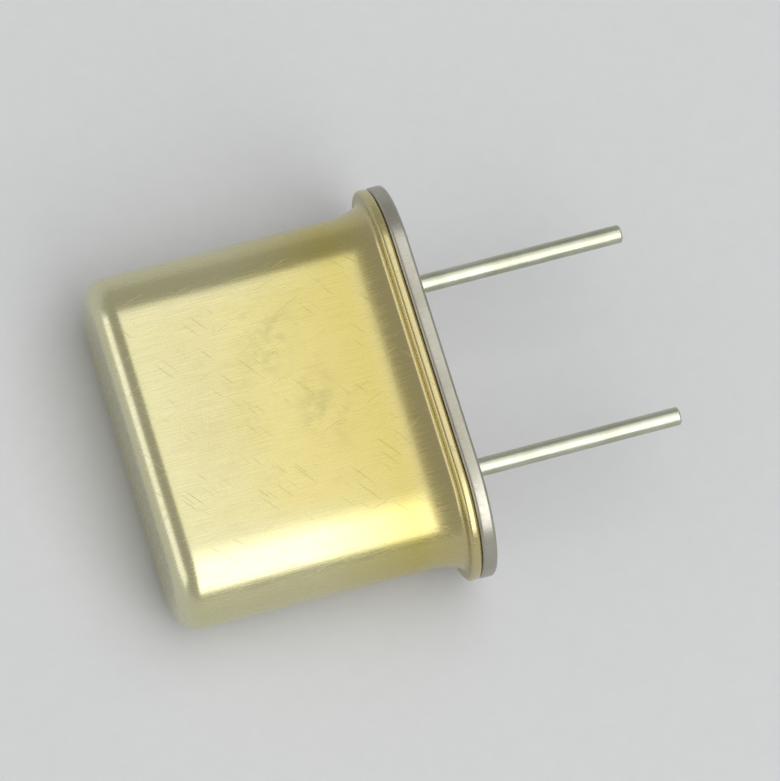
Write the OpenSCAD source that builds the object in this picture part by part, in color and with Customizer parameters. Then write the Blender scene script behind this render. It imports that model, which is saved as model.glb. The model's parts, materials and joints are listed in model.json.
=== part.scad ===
// Two-lead quartz crystal in a welded metal holder, lying on its broad side.
// It is drawn standing up: the seat plane at z = 0, the closed end up, the leads down,
// the broad front face towards +x. Left and right are as seen from that front.
// Module lie() then lays it down as it comes to rest: leads along +X, front face up.

/* [Shell] */
// Height of the holder from the seat plane to the closed end
holder_h = 6.0; // [5.8:0.1:7.6]
// Width of the drawn shell
can_w = 7.0; // [6.8:0.1:8.2]
// Thickness of the drawn shell
can_t = 2.4; // [2.2:0.1:3.0]
// Sheet that the shell is drawn from
sheet_t = 0.2; // [0.15:0.01:0.25]
// Outer radius of the edge round the closed end
crown_r = 0.45; // [0.3:0.05:0.6]

/* [Weld flange] */
// How far the flange stands out past the shell
flange_out = 0.4; // [0.35:0.05:0.6]
// Radius at which the foot of the shell starts to open out
flare_r = 1.6; // [0.8:0.1:2.0]
// Angle to which the foot opens out before it turns into the flange
flare_angle = 22; // [10:1:28]
// Radius of the bend between the foot and the flange
heel_r = 0.12; // [0.08:0.01:0.15]
// Rounding of the trimmed flange edges
rim_r = 0.07; // [0.03:0.01:0.07]

/* [Header] */
// Thickness of the header's flange
header_flange_t = 0.3; // [0.2:0.05:0.4]
// Thickness of the header over its raised centre
header_t = 1.15; // [1.0:0.05:1.3]
// Gap between the raised centre and the inside of the shell
header_clear = 0.15; // [0.1:0.01:0.2]
// Rounding and root fillet of the raised centre
header_edge_r = 0.1; // [0.05:0.01:0.15]
// Diameter of the glass bead round each lead
seal_d = 1.1; // [0.9:0.05:1.3]
// Depth to which the glass hollows between lead and header
meniscus = 0.07; // [0.03:0.01:0.12]
// Step from the seat plane up to the rim of the glass
glass_recess = 0.03; // [0.02:0.01:0.06]

/* [Leads] */
// Distance between the two leads
lead_pitch = 3.75; // [3.6:0.05:3.9]
// Diameter of the lead wire
lead_d = 0.35; // [0.3:0.01:0.45]
// Free length of the leads below the seat plane
lead_out = 4.2; // [3.0:0.1:13.0]
// Chamfer left where the wire was cut
cut_chamfer = 0.03; // [0.01:0.01:0.06]
// Diameter of the head upset on the inner end
head_d = 0.72; // [0.6:0.02:0.8]
// Thickness of that head
head_t = 0.12; // [0.08:0.01:0.2]
// How much the wire swells in radius under the head
head_swell = 0.02; // [0.01:0.01:0.04]
// Depth below the seat plane at which that swell has run out
swell_end = 0.15; // [0.12:0.01:0.3]

/* [Quartz] */
// Thickness of the quartz blank
blank_t = 0.07; // [0.05:0.005:0.1]
// Room above and below the blank
blank_clear = 0.2; // [0.15:0.05:0.4]
// Diameter of each electrode
electrode_d = 1.6; // [1.2:0.1:2.2]
// Width of the strip that runs from the electrode to its clip
tab_w = 0.5; // [0.3:0.05:0.6]
// Thickness of the metal film
electrode_t = 0.01; // [0.005:0.005:0.02]
// Bare margin between the end of the strip and the blank's edge
tab_margin = 0.05; // [0.03:0.01:0.1]

/* [Clips] */
// Width of the clip strip
clip_w = 0.8; // [0.6:0.05:1.0]
// Thickness of the clip strip
clip_t = 0.1; // [0.06:0.01:0.14]
// Inner radius of the bend between foot and upright
clip_bend_r = 0.12; // [0.08:0.01:0.2]
// How far the foot reaches inwards past the lead's axis
clip_reach = 0.42; // [0.36:0.02:0.6]
// How far the blank's edge stands out past the middle of the upright
clip_grip = 0.15; // [0.1:0.01:0.2]
// Clearance between the slot and the blank
slot_clear = 0.04; // [0.03:0.01:0.06]
// Metal left above the slot
clip_cap = 0.3; // [0.2:0.05:0.4]
// Diameter of each dab of conductive adhesive
dab_d = 0.6; // [0.5:0.05:0.7]

/* [Hidden] */
$fn = 64;
// Overshoot of cutting tools
cut = 1;
// Every stadium outline is this straight length with a half round on each end
flat_len = can_w - can_t;
// Offsets of the outlines from the stadium's centre line
can_off = can_t/2;
bore_off = can_off - sheet_t;
flange_off = can_off + flange_out;
centre_off = bore_off - header_clear;
// Levels above the seat plane
flange_top = header_flange_t + sheet_t;
bore_top = holder_h - sheet_t;
// Leads and seals
lead_r = lead_d/2;
seal_r = seal_d/2;
// The blank fills the room between the header and the closed end
blank_r = (bore_top - header_t)/2 - blank_clear;
blank_z = header_t + blank_clear + blank_r;
// The clips stand where the blank's edge passes through their slots
clip_y = blank_r - clip_grip;
foot_z = header_t + head_t;
slot_half = sqrt(pow(blank_r, 2) - pow(clip_y - clip_t/2, 2)) + slot_clear;
clip_top = blank_z + slot_half + clip_cap;
// Tilt at rest: the flange's lower edge and the closed end's lower edge both touch the
// surface, so a line that is tangent to both roundings lies flat
rest_dx = (flange_off - rim_r) - (can_off - crown_r);
rest_dz = (holder_h - crown_r) - (flange_top - rim_r);
rest_tilt = acos((crown_r - rim_r)/norm([rest_dx, rest_dz])) - atan2(rest_dz, rest_dx);

// Lays the standing holder down: z turns to -X and slightly down, x turns up
module lie() {
    rotate([0, -90 - rest_tilt, 0]) children();
}

// Solid of stadium plan: the child is its section from the centre line outwards
module oblong() {
    for (turn = [0, 180])
        rotate([0, 0, turn]) translate([0, flat_len/2, 0])
            rotate_extrude(angle = 180) children();
    rotate([90, 0, 0]) linear_extrude(flat_len, center = true) {
        children();
        mirror([1, 0]) children();
    }
}

// Section from the axis out to off, between two levels
module slab(off, low, high) {
    translate([0, low]) square([off, high - low]);
}

// Section of a flange whose outer edge has both corners rounded
module rimmed_slab(off, low, high, r) {
    slab(off - r, low, high);
    slab(off, low + r, high - r);
    for (z = [low + r, high - r]) translate([off - r, z]) circle(r);
}

// Section filled up to a wall at off that opens out downwards to the level foot: a long
// arc of radius slow to flare_angle, then a tight one of radius tight to the horizontal
module flared_foot(off, foot, slow, tight) {
    knee = foot + tight*(1 - sin(flare_angle));
    start = knee + slow*sin(flare_angle);
    tight_x = off + slow*(1 - cos(flare_angle)) + tight*cos(flare_angle);
    difference() {
        slab(tight_x, foot, start);
        intersection() {
            translate([off + slow, start]) circle(slow, $fn = 192);
            translate([0, knee]) square([off + slow, start - knee + cut]);
        }
        intersection() {
            translate([tight_x, foot + tight]) circle(tight);
            translate([0, foot]) square([off + slow, knee - foot]);
        }
    }
}

// Section of the shell's outside above the flange, also of its inside with less by inset
module drawn_form(inset) {
    off = can_off - inset;
    top = holder_h - inset;
    r = crown_r - inset;
    slab(off - r, flange_top - inset, top);
    slab(off, flange_top - inset, top - r);
    translate([off - r, top - r]) circle(r);
    flared_foot(off, flange_top - inset, flare_r + inset, heel_r + inset);
}

// Shell drawn from one sheet: closed end, straight wall, flared foot and weld flange
module can() {
    color("#dcc68a") oblong() difference() {
        union() {
            drawn_form(0);
            rimmed_slab(flange_off, header_flange_t, flange_top, rim_r);
        }
        drawn_form(sheet_t);
        slab(bore_off, header_flange_t - cut, flange_top);
    }
}

// Header: flange and raised centre in one piece, with a round hole for each glass bead
module base() {
    color("#b5ab8c") difference() {
        oblong() difference() {
            union() {
                rimmed_slab(flange_off, 0, header_flange_t, rim_r);
                slab(centre_off - header_edge_r, 0, header_t);
                slab(centre_off, 0, header_t - header_edge_r);
                translate([centre_off - header_edge_r, header_t - header_edge_r])
                    circle(header_edge_r);
                slab(centre_off + header_edge_r, 0, header_flange_t + header_edge_r);
            }
            translate([centre_off + header_edge_r, header_flange_t + header_edge_r])
                circle(header_edge_r);
        }
        for (side = [-1, 1])
            translate([0, side*lead_pitch/2, -cut]) cylinder(r = seal_r, h = header_t + 2*cut);
    }
}

// Lead wire: chamfered cut end, free length, swelling through the glass, upset head
module lead(side) {
    color("#d8d3b4") translate([0, side*lead_pitch/2, 0]) rotate_extrude() polygon([
        [0, -lead_out], [lead_r - cut_chamfer, -lead_out], [lead_r, -lead_out + cut_chamfer],
        [lead_r, -swell_end], [lead_r + head_swell, header_t], [head_d/2, header_t],
        [head_d/2, header_t + head_t], [0, header_t + head_t]
    ]);
}

// Glass bead fused between lead and header, hollowed on its outer side
module glass_seal(side) {
    half = (seal_r - lead_r)/2;
    bowl_r = (pow(half, 2) + pow(meniscus, 2))/(2*meniscus);
    color("#24404a") difference() {
        translate([0, side*lead_pitch/2, 0]) rotate_extrude() difference() {
            translate([0, glass_recess]) square([seal_r, header_t - glass_recess]);
            translate([lead_r + half, glass_recess + meniscus - bowl_r]) circle(bowl_r);
        }
        lead(side);
    }
}

// Formed strip: the foot is welded on the lead's head, the slotted upright holds the blank
module clip(side) {
    bend_out = clip_bend_r + clip_t;
    foot_end = lead_pitch/2 - clip_reach;
    inner_y = clip_y - clip_t/2;
    corner = [inner_y - clip_bend_r, foot_z + bend_out];
    color("#b9b8b0") mirror([0, side < 0 ? 1 : 0, 0]) difference() {
        rotate([90, 0, 90]) linear_extrude(clip_w, center = true) {
            translate([foot_end, foot_z]) square([corner.x - foot_end, clip_t]);
            translate([inner_y, corner.y]) square([clip_t, clip_top - corner.y]);
            intersection() {
                difference() {
                    translate(corner) circle(bend_out);
                    translate(corner) circle(clip_bend_r);
                }
                translate([corner.x, foot_z]) square([bend_out, bend_out]);
            }
        }
        translate([-blank_t/2 - slot_clear, inner_y - cut, blank_z - slot_half])
            cube([blank_t + 2*slot_clear, clip_t + 2*cut, 2*slot_half]);
    }
}

// Round quartz plate, its flat faces parallel to the holder's broad faces
module quartz_blank() {
    color("#dfe8ee") translate([-blank_t/2, 0, blank_z]) rotate([0, 90, 0])
        cylinder(r = blank_r, h = blank_t, $fn = 128);
}

// Metal film on one face of the blank, with its strip running out to one clip
module electrode(face) {
    tab_l = blank_r - tab_margin;
    color("#cfd2d6") translate([face > 0 ? blank_t/2 : -blank_t/2 - electrode_t, 0, blank_z])
        rotate([0, 90, 0]) linear_extrude(electrode_t) {
            circle(d = electrode_d);
            translate([-tab_w/2, face > 0 ? 0 : -tab_l]) square([tab_w, tab_l]);
        }
}

// Dab of silver-filled adhesive over the slot, the blank's edge and the film's strip
module adhesive(side) {
    color("#8f9092") difference() {
        translate([0, side*clip_y, blank_z]) sphere(d = dab_d);
        clip(side);
        quartz_blank();
        electrode(side);
    }
}

lie() can();
lie() base();
lie() glass_seal(-1);  // glass_seal_left
lie() glass_seal(1);  // glass_seal_right
lie() lead(-1);  // lead_left
lie() lead(1);  // lead_right
lie() clip(-1);  // clip_left
lie() clip(1);  // clip_right
lie() quartz_blank();
lie() electrode(1);  // electrode_front
lie() electrode(-1);  // electrode_back
lie() adhesive(-1);  // adhesive_left
lie() adhesive(1);  // adhesive_right
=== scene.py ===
import json
import math

import bmesh
import bpy
import numpy as np
from mathutils import Matrix, Vector


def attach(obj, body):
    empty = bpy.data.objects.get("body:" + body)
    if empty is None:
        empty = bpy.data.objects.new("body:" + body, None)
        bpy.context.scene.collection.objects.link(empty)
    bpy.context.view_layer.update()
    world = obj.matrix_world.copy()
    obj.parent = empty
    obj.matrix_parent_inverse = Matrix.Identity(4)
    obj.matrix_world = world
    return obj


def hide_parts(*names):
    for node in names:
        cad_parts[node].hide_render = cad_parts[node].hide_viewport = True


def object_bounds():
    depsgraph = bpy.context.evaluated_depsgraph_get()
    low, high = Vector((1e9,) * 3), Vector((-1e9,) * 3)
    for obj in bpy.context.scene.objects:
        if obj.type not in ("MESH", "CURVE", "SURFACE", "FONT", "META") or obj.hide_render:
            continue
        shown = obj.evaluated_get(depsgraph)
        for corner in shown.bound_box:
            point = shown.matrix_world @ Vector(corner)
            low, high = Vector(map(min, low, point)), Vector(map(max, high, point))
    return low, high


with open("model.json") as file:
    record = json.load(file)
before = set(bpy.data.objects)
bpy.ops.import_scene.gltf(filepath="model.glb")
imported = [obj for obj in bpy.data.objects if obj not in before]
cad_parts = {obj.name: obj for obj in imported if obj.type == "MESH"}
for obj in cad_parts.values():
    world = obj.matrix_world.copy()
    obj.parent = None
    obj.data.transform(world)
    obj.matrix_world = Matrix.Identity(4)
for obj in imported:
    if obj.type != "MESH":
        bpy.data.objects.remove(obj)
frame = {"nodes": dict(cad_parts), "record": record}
cad_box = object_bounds()

# The shell: one disc of thin nickel silver, deep drawn into a cup with full-round sides
# and a rounded closed end, its mouth opened out and turned into a weld flange. It is
# washed pale gold under a clear film. The draw leaves fine lines, the weld a brown bloom.
# Some of its colour is painted light: a highlight on the round sides, a reflection on the
# closed end and its edge, and shade on the flare.
MM = 0.001
MICRON = 1e-6
mounts = {mount["name"]: mount for mount in frame["record"]["mounts"]}
seat_point = np.array(mounts["seat"]["pos_m"], float)
leads_way = np.array(mounts["seat"]["axis"], float)
leads_way /= np.linalg.norm(leads_way)
across_way = np.array([0.0, 1.0, 0.0])
front_way = np.cross(leads_way, across_way)

# Sizes in millimetres
holder_h = 6.0
shell_w = 7.0
shell_t = 2.4
sheet_t = 0.2
crown_r = 0.45
flange_out = 0.4
flare_r = 1.6
flare_angle = math.radians(22)
heel_r = 0.12
rim_r = 0.07
header_flange_t = 0.3
bulge = 0.05

flat_len = shell_w - shell_t
shell_off = shell_t / 2
flange_off = shell_off + flange_out
flange_top = header_flange_t + sheet_t
knee_z = flange_top + heel_r * (1 - math.sin(flare_angle))
flare_top = knee_z + flare_r * math.sin(flare_angle)
heel_off = shell_off + flare_r * (1 - math.cos(flare_angle)) + heel_r * math.cos(flare_angle)

GOLD_PALE = (0.640, 0.565, 0.255)
GOLD_DEEP = (0.585, 0.500, 0.190)
GOLD_STAIN = (0.38, 0.345, 0.165)
# Pale gold: a thinner wash, and painted light, a highlight on the round sides and a reflection
# towards the closed end
GOLD_THIN_AND_HIGHLIGHT = (0.640, 0.608, 0.370)
# Bare silver where the wash is rubbed off, also a painted reflection on the closed end's edge
BARE_SILVER_AND_REFLECTION = (0.82, 0.83, 0.77)
# Brown weld bloom, also painted shade on the flare
WELD_BLOOM_AND_SHADE = (0.56, 0.48, 0.245)
GOLD_NEAR_FLANGE = (0.540, 0.460, 0.140)


def lay_down(points):
    """Standing millimetres to the row frame: the seat's point, plus x along the front face's
    normal, y across and z against the way the leads point."""
    ways = np.stack([front_way, across_way, -leads_way])
    return seat_point + points @ ways * MM


def bend(centre, radius, first, last, steps):
    """Arc of a section: the centre plus the radius times (cos, sin) of evenly spaced angles,
    given in degrees."""
    turn = np.radians(np.linspace(first, last, steps + 1))
    return np.stack([centre[0] + radius * np.cos(turn), centre[1] + radius * np.sin(turn)], 1)


def stretch(start, end, steps):
    """Straight run of a section: evenly spaced points from start to end, both included."""
    share = np.linspace(0, 1, steps + 1)[:, None]
    return np.array(start, float) * (1 - share) + np.array(end, float) * share


def joined(*runs):
    """The runs of a section end to end, with each point that two runs share kept once."""
    same_point = 1e-6
    points = np.vstack(runs)
    fresh = np.r_[True, np.linalg.norm(np.diff(points, axis=0), axis=1) > same_point]
    return points[fresh]


def round_the_oblong(section, flat, round_steps, flat_steps):
    """Carries a section (offset, height) round a stadium: each point is the spine's point
    plus its offset times the outward normal, where the spine is a straight line of length
    flat and the normal turns by half a round at each of its ends. It starts and ends at the
    front's middle and passes the back's middle halfway."""
    bend_turn = np.linspace(0, np.pi, round_steps + 1)
    half = np.linspace(0, flat / 2, flat_steps // 2 + 1)[:-1]
    turn = np.r_[0 * half, bend_turn, 0 * half + np.pi]
    spine = np.r_[half, np.full(bend_turn.size, flat / 2), half[::-1]]
    turn = np.r_[turn, turn[1:] + np.pi]
    spine = np.r_[spine, -spine[1:]]
    x = np.cos(turn)[:, None] * section[:, 0]
    y = spine[:, None] + np.sin(turn)[:, None] * section[:, 0]
    return np.stack([x, y, np.broadcast_to(section[:, 1], x.shape)], -1)


def made_piece(name, *patches):
    """A mesh from patches, each a grid of points in standing millimetres, whose shared edges
    are merged. The map "skin" holds the distance round and the distance along the section
    of each patch, in millimetres."""
    merge_within = 1e-8
    crease_from = math.radians(35)
    points, faces, spots = [], [], []
    first = 0
    for patch in patches:
        rounds, along = patch.shape[:2]
        number = first + np.arange(rounds * along).reshape(rounds, along)
        first += rounds * along
        corners = [number[:-1, :-1], number[1:, :-1], number[1:, 1:], number[:-1, 1:]]
        faces.append(np.stack(corners, -1).reshape(-1, 4))
        points.append(lay_down(patch).reshape(-1, 3))
        u = np.r_[0, np.cumsum(np.linalg.norm(np.diff(patch, axis=0), axis=2).max(1))]
        v = np.r_[0, np.cumsum(np.linalg.norm(np.diff(patch, axis=1), axis=2).max(0))]
        spot = np.stack(np.meshgrid(u, v, indexing="ij"), -1)
        spots.append(np.stack([spot[:-1, :-1], spot[1:, :-1], spot[1:, 1:], spot[:-1, 1:]],
                              -2).reshape(-1, 2))
    mesh = bpy.data.meshes.new(name)
    mesh.from_pydata(np.vstack(points).tolist(), [], np.vstack(faces).tolist())
    skin_map = mesh.uv_layers.new(name="skin")
    skin_map.data.foreach_set("uv", np.vstack(spots).astype(np.float32).ravel())
    work = bmesh.new()
    work.from_mesh(mesh)
    bmesh.ops.remove_doubles(work, verts=work.verts, dist=merge_within)
    bmesh.ops.recalc_face_normals(work, faces=work.faces)
    work.to_mesh(mesh)
    work.free()
    mesh.polygons.foreach_set("use_smooth", np.ones(len(mesh.polygons), bool))
    mesh.set_sharp_from_angle(angle=crease_from)
    piece = bpy.data.objects.new(name, mesh)
    bpy.context.scene.collection.objects.link(piece)
    return piece


def add(finish, kind, feeds=None, **settings):
    """One node of a finish. Each feed is a plain value or another node's output."""
    node = finish.node_tree.nodes.new(kind)
    for key, value in settings.items():
        setattr(node, key, value)
    for key, value in (feeds or {}).items():
        if isinstance(value, bpy.types.NodeSocket):
            finish.node_tree.links.new(value, node.inputs[key])
        else:
            node.inputs[key].default_value = value
    return node


def new_finish(name):
    """A finish with nothing on it yet: the material, its shader and, for its patterns, the
    place on the piece in metres."""
    finish = bpy.data.materials.new(name)
    finish.use_nodes = True
    place = add(finish, "ShaderNodeTexCoord").outputs["Object"]
    return finish, finish.node_tree.nodes["Principled BSDF"], place


def skin_of(finish):
    """The spot on the piece's own map, in millimetres."""
    return add(finish, "ShaderNodeUVMap", uv_map="skin").outputs["UV"]


def feed(finish, shader, **outputs):
    """Leads outputs of nodes into the shader's inputs, whose names are given in words."""
    for key, output in outputs.items():
        finish.node_tree.links.new(output, shader.inputs[key.replace("_", " ")])


def blotches(finish, place, scale, detail=4.0, roughness=0.55):
    """Cloudy unevenness, from 0 to 1, of about scale clouds to a unit of the place."""
    return add(finish, "ShaderNodeTexNoise", {"Vector": place, "Scale": scale, "Detail": detail,
                                              "Roughness": roughness}).outputs["Fac"]


def lines(finish, place, stretch_by, scale, detail=3.0, turn=0.0):
    """Fine lines: the same unevenness with its place turned by an angle in degrees, then
    stretched by a factor on each axis."""
    turned = add(finish, "ShaderNodeVectorRotate", {"Vector": place, "Angle": math.radians(turn)},
                 rotation_type="Z_AXIS").outputs["Vector"]
    drawn = add(finish, "ShaderNodeMapping", {"Vector": turned, "Scale": stretch_by})
    return blotches(finish, drawn.outputs["Vector"], scale, detail)


def between(finish, factor, low, high, first, last):
    """A value that goes from low to high as the factor goes from first to last."""
    return add(finish, "ShaderNodeMapRange", {"Value": factor, "From Min": first, "From Max": last,
                                              "To Min": low, "To Max": high}).outputs["Result"]


def reckoned(finish, operation, *terms):
    """A value worked out from others by one operation."""
    return add(finish, "ShaderNodeMath", dict(enumerate(terms)),
               operation=operation).outputs["Value"]


def tones(finish, factor, *stops):
    """A colour that runs through stops, each a share from 0 to 1 and a colour."""
    ramp = add(finish, "ShaderNodeValToRGB", {"Fac": factor})
    for share, tone in stops[1:-1]:
        ramp.color_ramp.elements.new(share)
    for element, (share, tone) in zip(ramp.color_ramp.elements, stops):
        element.position = share
    for element, (share, tone) in zip(ramp.color_ramp.elements, stops):
        element.color = (*tone, 1)
    return ramp.outputs["Color"]


def tinted(finish, factor, first, second):
    """The first colour where the factor is 0, the second where it is 1. The mix has its
    factor in socket 0 and its colours in sockets 6 and 7, and gives a colour in socket 2."""
    mix = add(finish, "ShaderNodeMix", data_type="RGBA")
    for index, value in ((0, factor), (6, first), (7, second)):
        if isinstance(value, bpy.types.NodeSocket):
            finish.node_tree.links.new(value, mix.inputs[index])
        else:
            mix.inputs[index].default_value = value if index == 0 else (*value, 1)
    return mix.outputs[2]


def relief(finish, height, depth, under=None):
    """Surface relief of a depth in metres, laid over another relief where one is given."""
    feeds = {"Height": height, "Strength": 1.0, "Distance": depth}
    if under is not None:
        feeds["Normal"] = under
    return add(finish, "ShaderNodeBump", feeds).outputs["Normal"]


# Its section runs from the closed end's middle down the outside to the flange's rim, and
# back up the inside
outside = joined(
    stretch((0, holder_h), (shell_off - crown_r, holder_h), 10),
    bend((shell_off - crown_r, holder_h - crown_r), crown_r, 90, 0, 18),
    stretch((shell_off, holder_h - crown_r), (shell_off, flare_top), 48),
    bend((shell_off + flare_r, flare_top), flare_r, 180, 180 + math.degrees(flare_angle), 14),
    bend((heel_off, flange_top + heel_r), heel_r, 180 + math.degrees(flare_angle), 270, 8),
    stretch((heel_off, flange_top), (flange_off - rim_r, flange_top), 3),
    bend((flange_off - rim_r, flange_top - rim_r), rim_r, 90, 0, 6),
    bend((flange_off - rim_r, header_flange_t + rim_r), rim_r, 0, -90, 6))
inner_heel = heel_r + sheet_t
inner_flare = flare_r + sheet_t
inside = joined(
    stretch((flange_off - rim_r, header_flange_t), (heel_off, header_flange_t), 3),
    bend((heel_off, flange_top + heel_r), inner_heel, 270, 180 + math.degrees(flare_angle), 8),
    bend((shell_off + flare_r, flare_top), inner_flare, 180 + math.degrees(flare_angle), 180, 8),
    stretch((shell_off - sheet_t, flare_top), (shell_off - sheet_t, holder_h - crown_r), 24),
    bend((shell_off - crown_r, holder_h - crown_r), crown_r - sheet_t, 0, 90, 8),
    stretch((shell_off - crown_r, holder_h - sheet_t), (0, holder_h - sheet_t), 8))
shell_section = joined(outside, inside)
shell_skin = round_the_oblong(shell_section, flat_len, round_steps=48, flat_steps=56)
# The broad faces stand out a little in the middle: the bulge, times one minus the square of
# the share across to the power 1.5, times the squared sine of half a round times the share
# up the wall
up_wall = np.clip((shell_skin[..., 2] - flare_top) / (holder_h - crown_r - flare_top), 0, 1)
crowned = np.clip(1 - np.square(shell_skin[..., 1] / (shell_w / 2)), 0, 1) ** 1.5
shell_skin[..., 0] += (np.sign(shell_skin[..., 0]) * bulge * crowned
                       * np.sin(np.pi * up_wall) ** 2)
shell = made_piece("drawn_shell", shell_skin)

shell_finish, shader, place = new_finish("shell_gold")
skin = skin_of(shell_finish)
cloud = blotches(shell_finish, place, scale=420.0, detail=5.0)
wash = tones(shell_finish, cloud, (0.30, GOLD_DEEP), (0.62, GOLD_PALE))
dust = blotches(shell_finish, place, scale=2600.0, detail=6.0, roughness=0.7)
wash = tinted(shell_finish, between(shell_finish, dust, 0.0, 0.22, 0.55, 0.72), wash, GOLD_STAIN)
# The round sides, which lie far across from the middle, are painted paler: a painted highlight
# that whitens their reflection
across = add(shell_finish, "ShaderNodeSeparateXYZ", {"Vector": place}).outputs["Y"]
side_from = (flat_len / 2 - 0.4) * MM
side_full = (flat_len / 2 + 0.4) * MM
painted_side_highlight = between(shell_finish, reckoned(shell_finish, "ABSOLUTE", across),
                     0.0, 0.8, side_from, side_full)
wash = tinted(shell_finish, painted_side_highlight, wash, GOLD_THIN_AND_HIGHLIGHT)
# Faint stains on the upper face: each lies near a spot, given as the distance across, the
# height and the strength, and only where the unevenness is high
STAINS = ((-0.4, 2.3, 0.80), (1.3, 3.0, 0.50))
stain_wide = 1.1
stain_tall = 0.7
torn = lines(shell_finish, place, stretch_by=(0.8, 1.0, 1.0), scale=3600.0, detail=8.0)
torn = between(shell_finish, torn, 0.0, 1.0, 0.45, 0.61)
for stain_y, stain_z, stain_strength in STAINS:
    spot = lay_down(np.array([shell_off, stain_y, stain_z]))
    shrink = np.array([1 / stain_tall, 1 / stain_wide, 1 / stain_tall]) / MM
    about = add(shell_finish, "ShaderNodeMapping", {
        "Vector": place, "Scale": tuple(shrink), "Location": tuple(-shrink * spot)})
    far = add(shell_finish, "ShaderNodeVectorMath", {0: about.outputs["Vector"]},
              operation="LENGTH").outputs["Value"]
    near = between(shell_finish, far, stain_strength, 0.0, 0.3, 1.0)
    wash = tinted(shell_finish, reckoned(shell_finish, "MULTIPLY", near, torn), wash, GOLD_STAIN)
# The wash is rubbed through round the closed end's edge, whose arc runs from where the
# map's second distance is the end's half width. Its bare silver is also a painted reflection
# that lightens that edge.
along = add(shell_finish, "ShaderNodeSeparateXYZ", {"Vector": skin}).outputs["Y"]
patchy = blotches(shell_finish, place, scale=1800.0, detail=5.0)
edge_from = shell_off - crown_r
edge_to = edge_from + crown_r * math.pi / 2
rub_reflect_starts = between(shell_finish, along, 0.0, 1.0, edge_from - 0.12, edge_from + 0.20)
rub_reflect_ends = between(shell_finish, along, 1.0, 0.0, edge_to - 0.34, edge_to - 0.06)
rub_reflect_patches = between(shell_finish, patchy, 0.36, 0.76, 0.35, 0.65)
rubbed_edge_and_painted_reflection = reckoned(shell_finish, "MULTIPLY", rub_reflect_starts, rub_reflect_ends)
rubbed_edge_and_painted_reflection = reckoned(shell_finish, "MULTIPLY", rubbed_edge_and_painted_reflection, rub_reflect_patches)
wash = tinted(shell_finish, rubbed_edge_and_painted_reflection, wash, BARE_SILVER_AND_REFLECTION)
# The wash is paler towards the closed end, which also paints a reflection on the closed end,
# and deeper towards the flange; a brown weld bloom, which is also painted shade, covers the
# flare. Each changes with the height above the seat plane, made ragged by the patches
height = add(shell_finish, "ShaderNodeVectorMath", {0: place, 1: tuple(-leads_way)},
             operation="DOT_PRODUCT").outputs["Value"]
ragged = reckoned(shell_finish, "MULTIPLY_ADD", patchy, 0.22 * MM, height)
paler_end_and_reflection = between(shell_finish, ragged, 0.0, 0.85, 3.6 * MM, 6.2 * MM)
wash = tinted(shell_finish, paler_end_and_reflection, wash, GOLD_THIN_AND_HIGHLIGHT)
warmth = between(shell_finish, ragged, 0.95, 0.0, (flare_top + 0.4) * MM, (flare_top + 2.3) * MM)
wash = tinted(shell_finish, warmth, wash, GOLD_NEAR_FLANGE)
# The bloom darkens the flare, partly painted shade there
bloom_and_painted_shade = between(shell_finish, ragged, 0.85, 0.0, (flange_top + 0.2) * MM, (flare_top + 0.3) * MM)
wash = tinted(shell_finish, bloom_and_painted_shade, wash, WELD_BLOOM_AND_SHADE)
draw_lines = lines(shell_finish, skin, stretch_by=(9.0, 0.35, 1.0), scale=4.0, detail=4.0)
rubbed = lines(shell_finish, skin, stretch_by=(0.6, 3.0, 1.0), scale=3.0, detail=4.0)
sheen = between(shell_finish, draw_lines, 0.20, 0.34, 0.3, 0.7)
grain = relief(shell_finish, draw_lines, depth=1.2 * MICRON)
grain = relief(shell_finish, rubbed, depth=0.8 * MICRON, under=grain)
# Handling has left sparse hairlines, at two angles to the draw, each a little rougher
hair_roughness = 0.12
for hair_turn in (24, -52):
    hair = lines(shell_finish, skin, stretch_by=(14.0, 0.3, 1.0), scale=3.0, detail=1.0,
                 turn=hair_turn)
    hair = between(shell_finish, hair, 0.0, 1.0, 0.70, 0.76)
    sheen = reckoned(shell_finish, "MULTIPLY_ADD", hair, hair_roughness, sheen)
    grain = relief(shell_finish, hair, depth=-1.2 * MICRON, under=grain)
shader.inputs["Metallic"].default_value = 1.0
shader.inputs["Coat Weight"].default_value = 0.5
shader.inputs["Coat Roughness"].default_value = 0.12
feed(shell_finish, shader, Base_Color=wash, Roughness=sheen, Normal=grain)
shell.data.materials.append(shell_finish)
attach(shell, "root")
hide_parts("can")

# The header: a stamped plate of glass-sealing alloy, its middle raised to sit inside the
# shell, with two round holes for the glass. Its flange is welded to the shell's flange,
# rim to rim, and the gap between the two rounded rims stays open as a dark line.
LEAD_NAMES = ("left", "right")
header_t = 1.15
header_gap = 0.15
header_edge_r = 0.1
bead_r = 0.55
centre_off = shell_off - sheet_t - header_gap
lead_spots = [mounts["lead_" + name]["pos_m"][1] / MM for name in LEAD_NAMES]
ALLOY_DULL = (0.37, 0.355, 0.29)
ALLOY_BRIGHT = (0.48, 0.465, 0.40)


def hole_side(points, spot):
    """Moves points, at their own height, on to the wall of a hole: the hole's axis plus the
    bead's radius times the unit way from the axis to each point."""
    way = points - np.array([0.0, spot, 0.0])
    way[..., 2] = 0
    out = points.copy()
    out[..., :2] = [0.0, spot]
    return out + bead_r * way / np.linalg.norm(way, axis=-1)[..., None]


def bridge(first, last, steps):
    """A patch between two rows of points: the first row times one minus the share, plus the
    last row times the share, for evenly spaced shares."""
    share = np.linspace(0, 1, steps + 1)[None, :, None]
    return first[:, None] * (1 - share) + last[:, None] * share


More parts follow.
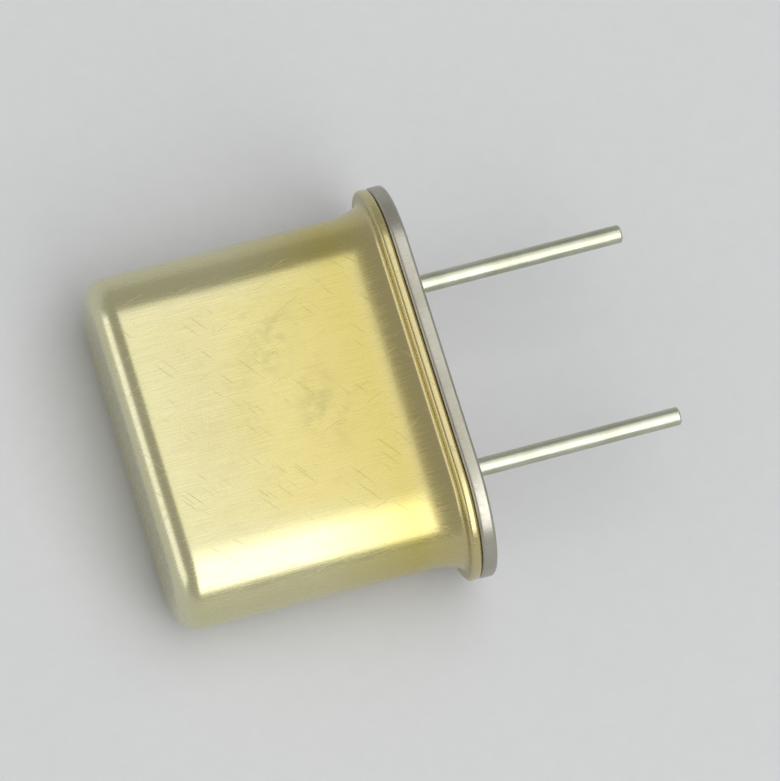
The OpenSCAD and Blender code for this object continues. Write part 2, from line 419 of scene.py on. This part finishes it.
rim_section = joined(
    bend((centre_off - header_edge_r, header_t - header_edge_r), header_edge_r, 90, 0, 6),
    stretch((centre_off, header_t - header_edge_r), (centre_off, header_flange_t), 5),
    stretch((centre_off, header_flange_t), (flange_off - rim_r, header_flange_t), 5),
    bend((flange_off - rim_r, header_flange_t - rim_r), rim_r, 90, 0, 6),
    stretch((flange_off, header_flange_t - rim_r), (flange_off, rim_r), 3),
    bend((flange_off - rim_r, rim_r), rim_r, 0, -90, 6))
rim = round_the_oblong(rim_section, flat_len, round_steps=48, flat_steps=56)
middle = len(rim) // 2
header_patches = [rim]
# One patch round each hole fills half of the top, and one half of the underside. The two
# halves meet on a line across the middle
for spot, half in zip(lead_spots, (slice(middle, None), slice(None, middle + 1))):
    top, bottom = rim[half, 0], rim[half, -1]
    top = np.vstack([top, stretch(top[-1], top[0], 24)[1:]])
    bottom = np.vstack([bottom, stretch(bottom[-1], bottom[0], 24)[1:]])
    top_edge, bottom_edge = hole_side(top, spot), hole_side(bottom, spot)
    wall = hole_side(bridge(top_edge, bottom_edge, 8), spot)
    header_patches += [bridge(top, top_edge, 6), wall, bridge(bottom_edge, bottom, 6)]
header = made_piece("header", *header_patches)
header_finish, shader, place = new_finish("header_metal")
plate = tones(header_finish, blotches(header_finish, place, scale=700.0, detail=5.0),
              (0.3, ALLOY_DULL), (0.65, ALLOY_BRIGHT))
stamped = lines(header_finish, skin_of(header_finish), stretch_by=(6.0, 1.0, 1.0), scale=5.0)
shader.inputs["Metallic"].default_value = 1.0
feed(header_finish, shader, Base_Color=plate,
     Roughness=between(header_finish, stamped, 0.26, 0.42, 0.3, 0.7),
     Normal=relief(header_finish, stamped, depth=1.5 * MICRON))
header.data.materials.append(header_finish)
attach(header, "root")
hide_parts("base")

# Glass beads: a ring of dark sealing glass fused between each lead and the header. It
# wets both metals, so its free surface hollows between them.
glass_recess = 0.03
meniscus = 0.07
lead_r = mounts["lead_left"]["dims"]["r_mm"]
head_swell = 0.02
bead_half = (bead_r - lead_r) / 2
bowl_r = (bead_half ** 2 + meniscus ** 2) / (2 * meniscus)
bowl_reach = math.degrees(math.asin(bead_half / bowl_r))
bowl_centre = (lead_r + bead_half, glass_recess + meniscus - bowl_r)
GLASS_DARK = (0.010, 0.022, 0.028)
GLASS_THIN = (0.030, 0.055, 0.062)


def round_the_axis(section, centre_y, steps):
    """Turns a section (radius, height) round an upright axis: x is the radius times the
    cosine, and y the axis's place plus the radius times the sine, of evenly spaced angles."""
    turn = np.linspace(0, 2 * np.pi, steps + 1)[:, None]
    x = np.cos(turn) * section[:, 0]
    y = centre_y + np.sin(turn) * section[:, 0]
    return np.stack([x, y, np.broadcast_to(section[:, 1], x.shape)], -1)


def grains(finish, place, scale):
    """How far off the nearest grain is, with about scale grains to a unit of the place."""
    return add(finish, "ShaderNodeTexVoronoi", {"Vector": place, "Scale": scale}).outputs["Distance"]


bead_section = joined(
    bend(bowl_centre, bowl_r, 90 + bowl_reach, 90 - bowl_reach, 12),
    stretch((bead_r, glass_recess), (bead_r, header_t), 8),
    stretch((bead_r, header_t), (lead_r + head_swell, header_t), 4),
    stretch((lead_r + head_swell, header_t), (lead_r, glass_recess), 8))
glass_finish, shader, place = new_finish("sealing_glass")
melt = tones(glass_finish, blotches(glass_finish, place, scale=2600.0, detail=3.0),
             (0.35, GLASS_DARK), (0.7, GLASS_THIN))
specks = between(glass_finish, grains(glass_finish, place, scale=16000.0), 1.0, 0.0, 0.05, 0.22)
shader.inputs["Coat Weight"].default_value = 0.6
shader.inputs["Coat Roughness"].default_value = 0.04
shader.inputs["IOR"].default_value = 1.5
feed(glass_finish, shader, Base_Color=melt,
     Roughness=between(glass_finish, specks, 0.10, 0.3, 0, 1),
     Normal=relief(glass_finish, specks, depth=1.0 * MICRON))
for name, spot in zip(LEAD_NAMES, lead_spots):
    bead = made_piece("glass_bead_" + name, round_the_axis(bead_section, spot, steps=72))
    bead.data.materials.append(glass_finish)
    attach(bead, "root")
    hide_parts("glass_seal_" + name)

# Leads: drawn wire of the same alloy, plated pale, with a head upset on the inner end and
# the outer end cut square. Drawing leaves lines along the wire.
lead_out = 4.2
cut_chamfer = 0.03
swell_end = 0.15
head_r = 0.36
head_t = 0.12
WIRE_DULL = (0.42, 0.43, 0.32)
WIRE_BRIGHT = (0.53, 0.545, 0.44)
lead_section = joined(
    stretch((0, -lead_out), (lead_r - cut_chamfer, -lead_out), 5),
    stretch((lead_r - cut_chamfer, -lead_out), (lead_r, -lead_out + cut_chamfer), 3),
    stretch((lead_r, -lead_out + cut_chamfer), (lead_r, -swell_end), 40),
    stretch((lead_r, -swell_end), (lead_r + head_swell, header_t), 10),
    stretch((lead_r + head_swell, header_t), (head_r, header_t), 4),
    stretch((head_r, header_t), (head_r, header_t + head_t), 3),
    stretch((head_r, header_t + head_t), (0, header_t + head_t), 6))
lead_finish, shader, place = new_finish("lead_wire")
plate = tones(lead_finish, blotches(lead_finish, place, scale=1500.0, detail=5.0),
              (0.3, WIRE_DULL), (0.6, WIRE_BRIGHT))
drawn = lines(lead_finish, skin_of(lead_finish), stretch_by=(9.0, 0.25, 1.0), scale=5.0,
              detail=5.0)
shader.inputs["Metallic"].default_value = 1.0
feed(lead_finish, shader, Base_Color=plate,
     Roughness=between(lead_finish, drawn, 0.20, 0.40, 0.3, 0.7),
     Normal=relief(lead_finish, drawn, depth=1.6 * MICRON))
for name, spot in zip(LEAD_NAMES, lead_spots):
    lead = made_piece("lead_wire_" + name, round_the_axis(lead_section, spot, steps=64))
    lead.data.materials.append(lead_finish)
    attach(lead, "root")
    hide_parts("lead_" + name)

# Clips: short strips of rolled nickel silver, bent to an L, spot welded by the foot to the
# lead's head, with a slot in the upright for the edge of the quartz.
STRIP_DULL = (0.50, 0.49, 0.45)
STRIP_BRIGHT = (0.72, 0.70, 0.65)


def refinish(node, finish):
    """Gives a solid that keeps its own mesh this finish in place of the plain one."""
    solid = frame["nodes"][node]
    solid.data.materials.clear()
    solid.data.materials.append(finish)


clip_finish, shader, place = new_finish("clip_strip")
rolled = lines(clip_finish, place, stretch_by=(400.0, 6000.0, 9000.0), scale=1.0)
shader.inputs["Metallic"].default_value = 1.0
feed(clip_finish, shader,
     Base_Color=tones(clip_finish, rolled, (0.3, STRIP_DULL), (0.7, STRIP_BRIGHT)),
     Roughness=between(clip_finish, rolled, 0.22, 0.4, 0.3, 0.7),
     Normal=relief(clip_finish, rolled, depth=1.0 * MICRON))
for name in LEAD_NAMES:
    refinish("clip_" + name, clip_finish)

# The quartz: a thin round plate cut from a quartz bar, lapped fine and etched clear. Its
# edge sits in the slots of the two clips.
QUARTZ_LAPPED = (0.86, 0.90, 0.92)
QUARTZ_CLEAR = (0.96, 0.98, 0.99)
quartz_finish, shader, place = new_finish("lapped_quartz")
lapped = blotches(quartz_finish, place, scale=30000.0)
shader.inputs["Transmission Weight"].default_value = 0.9
shader.inputs["IOR"].default_value = 1.544
feed(quartz_finish, shader,
     Base_Color=tones(quartz_finish, lapped, (0.3, QUARTZ_LAPPED), (0.7, QUARTZ_CLEAR)),
     Roughness=between(quartz_finish, lapped, 0.12, 0.3, 0.3, 0.7),
     Normal=relief(quartz_finish, lapped, depth=0.4 * MICRON))
refinish("quartz_blank", quartz_finish)

# Electrodes: silver evaporated through a mask on each face, a disc with a strip that runs
# out to its clip.
SILVER_DULL = (0.74, 0.73, 0.70)
SILVER_BRIGHT = (0.90, 0.90, 0.88)
film_finish, shader, place = new_finish("silver_film")
hazy = blotches(film_finish, place, scale=9000.0, detail=5.0)
shader.inputs["Metallic"].default_value = 1.0
feed(film_finish, shader,
     Base_Color=tones(film_finish, hazy, (0.3, SILVER_DULL), (0.7, SILVER_BRIGHT)),
     Roughness=between(film_finish, hazy, 0.16, 0.32, 0.3, 0.7),
     Normal=relief(film_finish, hazy, depth=0.3 * MICRON))
for face in ("front", "back"):
    refinish("electrode_" + face, film_finish)

# Adhesive: a dab of silver-filled paste over each slot, cured hard and matt grey. It holds
# the blank's edge in its clip and joins the film to it.
FLAKE_GREY = (0.62, 0.62, 0.61)
RESIN_GREY = (0.30, 0.30, 0.30)
paste_finish, shader, place = new_finish("silver_paste")
flakes = grains(paste_finish, place, scale=26000.0)
lumps = blotches(paste_finish, place, scale=6000.0, detail=5.0)
feed(paste_finish, shader,
     Base_Color=tones(paste_finish, flakes, (0.1, FLAKE_GREY), (0.6, RESIN_GREY)),
     Metallic=between(paste_finish, flakes, 0.7, 0.2, 0.1, 0.5),
     Roughness=between(paste_finish, flakes, 0.4, 0.75, 0.1, 0.6),
     Normal=relief(paste_finish, lumps, depth=12 * MICRON))
for name in LEAD_NAMES:
    refinish("adhesive_" + name, paste_finish)

# The floor: a plain pale board with a fine tooth, level with the lowest point of the part
# that lies on it.
BOARD_LOW = (0.625, 0.635, 0.645)
BOARD_HIGH = (0.640, 0.650, 0.660)
floor_z = cad_box[0].z
floor_half = 0.5
floor_mesh = bpy.data.meshes.new("floor")
floor_mesh.from_pydata([(-floor_half, -floor_half, floor_z), (floor_half, -floor_half, floor_z),
                        (floor_half, floor_half, floor_z), (-floor_half, floor_half, floor_z)],
                       [], [(0, 1, 2, 3)])
floor = bpy.data.objects.new("floor", floor_mesh)
bpy.context.scene.collection.objects.link(floor)
board, shader, place = new_finish("pale_board")
tooth = blotches(board, place, scale=4000.0)
feed(board, shader, Base_Color=tones(board, tooth, (0.3, BOARD_LOW), (0.7, BOARD_HIGH)),
     Normal=relief(board, tooth, depth=1.0 * MICRON))
shader.inputs["Roughness"].default_value = 0.7
shader.inputs["Specular IOR Level"].default_value = 0.2
floor_mesh.materials.append(board)

# The light: a bank of soft panels bent over the part, which grows brighter towards the
# viewer's side, and one low panel off the closed end, in a plain room that is pale at the
# horizon and dimmer above.
HORIZON = (0.66, 0.67, 0.68)
LOW_WALL = (0.62, 0.63, 0.64)
HIGH_WALL = (0.47, 0.47, 0.46)
CEILING = (0.42, 0.42, 0.41)
TO_VIEWER = (0, -1, 0)
TO_CLOSED_END = (-1, 0, 0)
panel_far = 0.30
room = bpy.data.worlds.new("pale_room")
room.use_nodes = True
bpy.context.scene.world = room
way = add(room, "ShaderNodeTexCoord").outputs["Generated"]
rise = add(room, "ShaderNodeSeparateXYZ", {"Vector": way}).outputs["Z"]
sky = tones(room, rise, (0.0, HORIZON), (0.05, LOW_WALL), (0.14, HIGH_WALL), (0.7, CEILING),
            (1.0, CEILING))
room.node_tree.links.new(sky, room.node_tree.nodes["Background"].inputs["Color"])


def light_panel(name, side, tilts, width, radiance, aside=0.0):
    """A soft panel that faces the part from panel_far away. It covers what lies between the
    two tilts, in degrees from straight above towards the level direction called side, and
    may be moved aside. The lamp's power is the radiance times its area times pi."""
    middle_tilt = math.radians((tilts[0] + tilts[1]) / 2)
    half_tilt = math.radians((tilts[1] - tilts[0]) / 2)
    light = bpy.data.lights.new(name, "AREA")
    light.shape = "RECTANGLE"
    light.size = width
    light.size_y = 2 * panel_far * math.tan(half_tilt)
    light.energy = radiance * light.size * light.size_y * math.pi
    lamp = bpy.data.objects.new(name, light)
    above = Vector((0, 0, 1))
    back = Vector(side) * math.sin(middle_tilt) + above * math.cos(middle_tilt)
    level = Vector(side).cross(above)
    turn = Matrix((level, back.cross(level), back)).transposed().to_4x4()
    lamp.matrix_world = Matrix.Translation(back * panel_far - level * aside) @ turn
    lamp.visible_camera = False
    bpy.context.scene.collection.objects.link(lamp)


# The bank is set towards the leads, so that the flare sees past it
bank_aside = 0.11
front_aside = 0.08
light_panel("far_panel", TO_VIEWER, tilts=(-32, -24), width=0.30, radiance=0.96, aside=bank_aside)
light_panel("face_panel", TO_VIEWER, tilts=(-24, -10), width=0.30, radiance=0.96, aside=bank_aside)
light_panel("top_panel", TO_VIEWER, tilts=(-10, 2), width=0.30, radiance=1.30, aside=bank_aside)
light_panel("rising_panel", TO_VIEWER, tilts=(2, 14), width=0.28, radiance=1.75, aside=bank_aside)
light_panel("front_panel", TO_VIEWER, tilts=(14, 70), width=0.22, radiance=2.3, aside=front_aside)
light_panel("end_panel", TO_CLOSED_END, tilts=(58, 88), width=0.34, radiance=0.98)

# The camera: it sees the part from the photo's side and distance, with the leads at the
# photo's slope, and has a longer lens, because the part is small in the photo.
view_end_share = 0.17
view_near_share = 0.284
leads_slope = math.radians(14.5)
view_distance = 0.168
view_width = 0.0146
view_front_share = math.sqrt(1 - view_end_share ** 2 - view_near_share ** 2)
view_way = Vector(view_front_share * front_way - view_near_share * across_way
                  - view_end_share * leads_way)
leads_seen = Vector(leads_way) - view_way * view_way.dot(Vector(leads_way))
leads_seen.normalize()
right = (leads_seen * math.cos(leads_slope)
         - view_way.cross(leads_seen) * math.sin(leads_slope))
up = view_way.cross(right)
aim = (cad_box[0] + cad_box[1]) / 2
lens = bpy.data.cameras.new("view")
lens.sensor_width = 36.0
lens.lens = lens.sensor_width * view_distance / view_width
lens.clip_start = 0.01
lens.clip_end = 10.0
camera = bpy.data.objects.new("view", lens)
turned = Matrix((right, up, view_way)).transposed().to_4x4()
camera.matrix_world = Matrix.Translation(aim + view_way * view_distance) @ turned
bpy.context.scene.collection.objects.link(camera)
bpy.context.scene.camera = camera
bpy.context.scene.view_settings.view_transform = "Standard"
